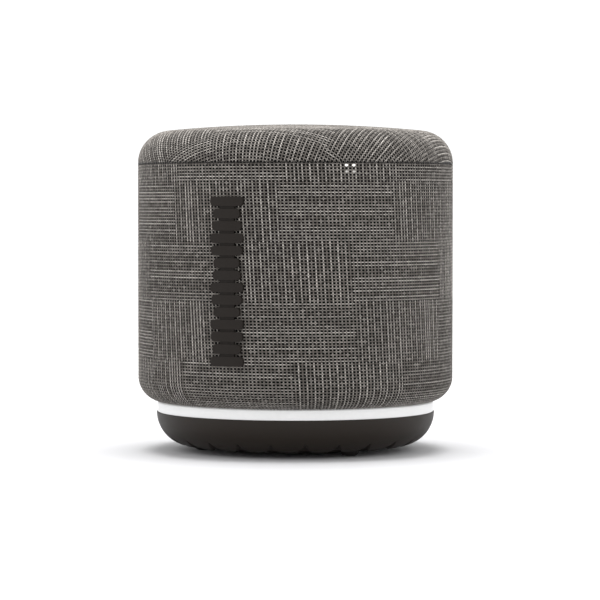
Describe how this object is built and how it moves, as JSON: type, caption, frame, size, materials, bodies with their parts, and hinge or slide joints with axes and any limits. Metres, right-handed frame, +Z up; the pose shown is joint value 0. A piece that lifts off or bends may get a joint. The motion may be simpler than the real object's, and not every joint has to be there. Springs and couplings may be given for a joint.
{
  "type": "smart speaker",
  "caption": "Portable drum-shaped smart speaker covered in woven fabric, with a glowing light ring over a rounded rubber base, a raised side emblem and a rear strip of push keys.",
  "frame": {"origin": "on the table under the middle of the drum, level with the tips of the feet", "axes": "+Z up, the front faces -Y, +X to the right seen from the front, the control strip at +Y"},
  "size_m": [0.114, 0.115, 0.1176],
  "materials": {
    "top_cloth": "woven, melange dark warm grey",
    "side_cloth": "woven, melange dark warm grey",
    "base_rubber": "satin",
    "foot_rubber": "satin",
    "emblem_rubber": "matte",
    "strip_rubber": "matte",
    "button_rubber": "satin",
    "ring_diffuser": "satin, lit",
    "light_pipe": "clear",
    "lamp": "lit",
    "frame_plastic": "fine texture",
    "cap_plastic": "fine texture",
    "tray_plastic": "fine texture",
    "box_plastic": "fine texture",
    "deflector_plastic": "satin",
    "circuit_board": "solder mask",
    "chip": "moulded",
    "switch_metal": "pressed",
    "shield_metal": "tinned",
    "screw_steel": "black zinc",
    "pole_steel": "zinc",
    "basket_steel": "powder coat",
    "ferrite": "ground",
    "coil": "enamelled copper",
    "cone_paper": "pressed paper",
    "spider_cloth": "resin cloth",
    "surround_rubber": "satin",
    "seal_foam": "foam",
    "cell_wrap": "foil pouch",
    "wire": "sleeved",
    "flat_cable": "film",
    "piston_metal": "painted",
    "socket_metal": "nickel"
  },
  "bodies": {
    "root": {"top_fabric": "top_cloth", "top_cap": "cap_plastic", "fabric_sleeve": "side_cloth", "grille_frame": "frame_plastic", "front_emblem": "emblem_rubber", "emblem_push_nuts": "screw_steel", "light_ring": "ring_diffuser", "led_ring_board": "circuit_board", "ring_leds": "lamp", "base_bowl": "base_rubber", "rubber_foot_1": "foot_rubber", "rubber_foot_2": "foot_rubber", "rubber_foot_3": "foot_rubber", "base_screws": "screw_steel", "battery_pack": "cell_wrap", "battery_lead": "wire", "chassis_tray": "tray_plastic", "frame_screws": "screw_steel", "main_board": "circuit_board", "main_board_chips": "chip", "shield_can": "shield_metal", "board_screws": "screw_steel", "enclosure_body": "box_plastic", "enclosure_lid": "box_plastic", "enclosure_seal": "seal_foam", "enclosure_screws": "screw_steel", "lid_screws": "screw_steel", "acoustic_deflector": "deflector_plastic", "driver_basket": "basket_steel", "driver_top_plate": "pole_steel", "driver_magnet": "ferrite", "driver_yoke": "pole_steel", "driver_surround": "surround_rubber", "driver_spider": "spider_cloth", "driver_screws": "screw_steel", "speaker_lead": "wire", "radiator_frame": "box_plastic", "radiator_surround": "surround_rubber", "top_board": "circuit_board", "top_board_screws": "screw_steel", "microphones": "shield_metal", "mic_boots": "seal_foam", "status_led": "lamp", "status_light_pipe": "light_pipe", "top_board_cable": "flat_cable", "rear_panel": "strip_rubber", "rear_board": "circuit_board", "rear_board_screws": "screw_steel", "tact_switches": "switch_metal", "usb_socket": "socket_metal"},
    "power_button": {"power_button": "button_rubber"},
    "volume_down_button": {"volume_down_button": "button_rubber"},
    "voice_button": {"voice_button": "button_rubber"},
    "volume_up_button": {"volume_up_button": "button_rubber"},
    "mic_mute_button": {"mic_mute_button": "button_rubber"},
    "cone": {"driver_cone": "cone_paper", "voice_coil": "coil", "driver_dust_cap": "cone_paper"},
    "radiator": {"radiator_piston": "piston_metal"}
  },
  "joints": [
    {"name": "power_button_press", "type": "slide", "parent": "root", "child": "power_button", "axis": [0, -1, 0], "range_m": [0, 0.0007], "stiffness_N_per_m": 900},
    {"name": "volume_down_button_press", "type": "slide", "parent": "root", "child": "volume_down_button", "axis": [0, -1, 0], "range_m": [0, 0.0007], "stiffness_N_per_m": 900},
    {"name": "voice_button_press", "type": "slide", "parent": "root", "child": "voice_button", "axis": [0, -1, 0], "range_m": [0, 0.0007], "stiffness_N_per_m": 900},
    {"name": "volume_up_button_press", "type": "slide", "parent": "root", "child": "volume_up_button", "axis": [0, -1, 0], "range_m": [0, 0.0007], "stiffness_N_per_m": 900},
    {"name": "mic_mute_button_press", "type": "slide", "parent": "root", "child": "mic_mute_button", "axis": [0, -1, 0], "range_m": [0, 0.0007], "stiffness_N_per_m": 900},
    {"name": "cone_travel", "type": "slide", "parent": "root", "child": "cone", "axis": [0, 0, 1], "range_m": [-0.0025, 0.0025], "stiffness_N_per_m": 1200, "deforming": ["driver_surround", "driver_spider"]},
    {"name": "radiator_travel", "type": "slide", "parent": "root", "child": "radiator", "axis": [0, 0, 1], "range_m": [-0.003, 0.003], "stiffness_N_per_m": 1500, "deforming": ["radiator_surround"]}
  ]
}
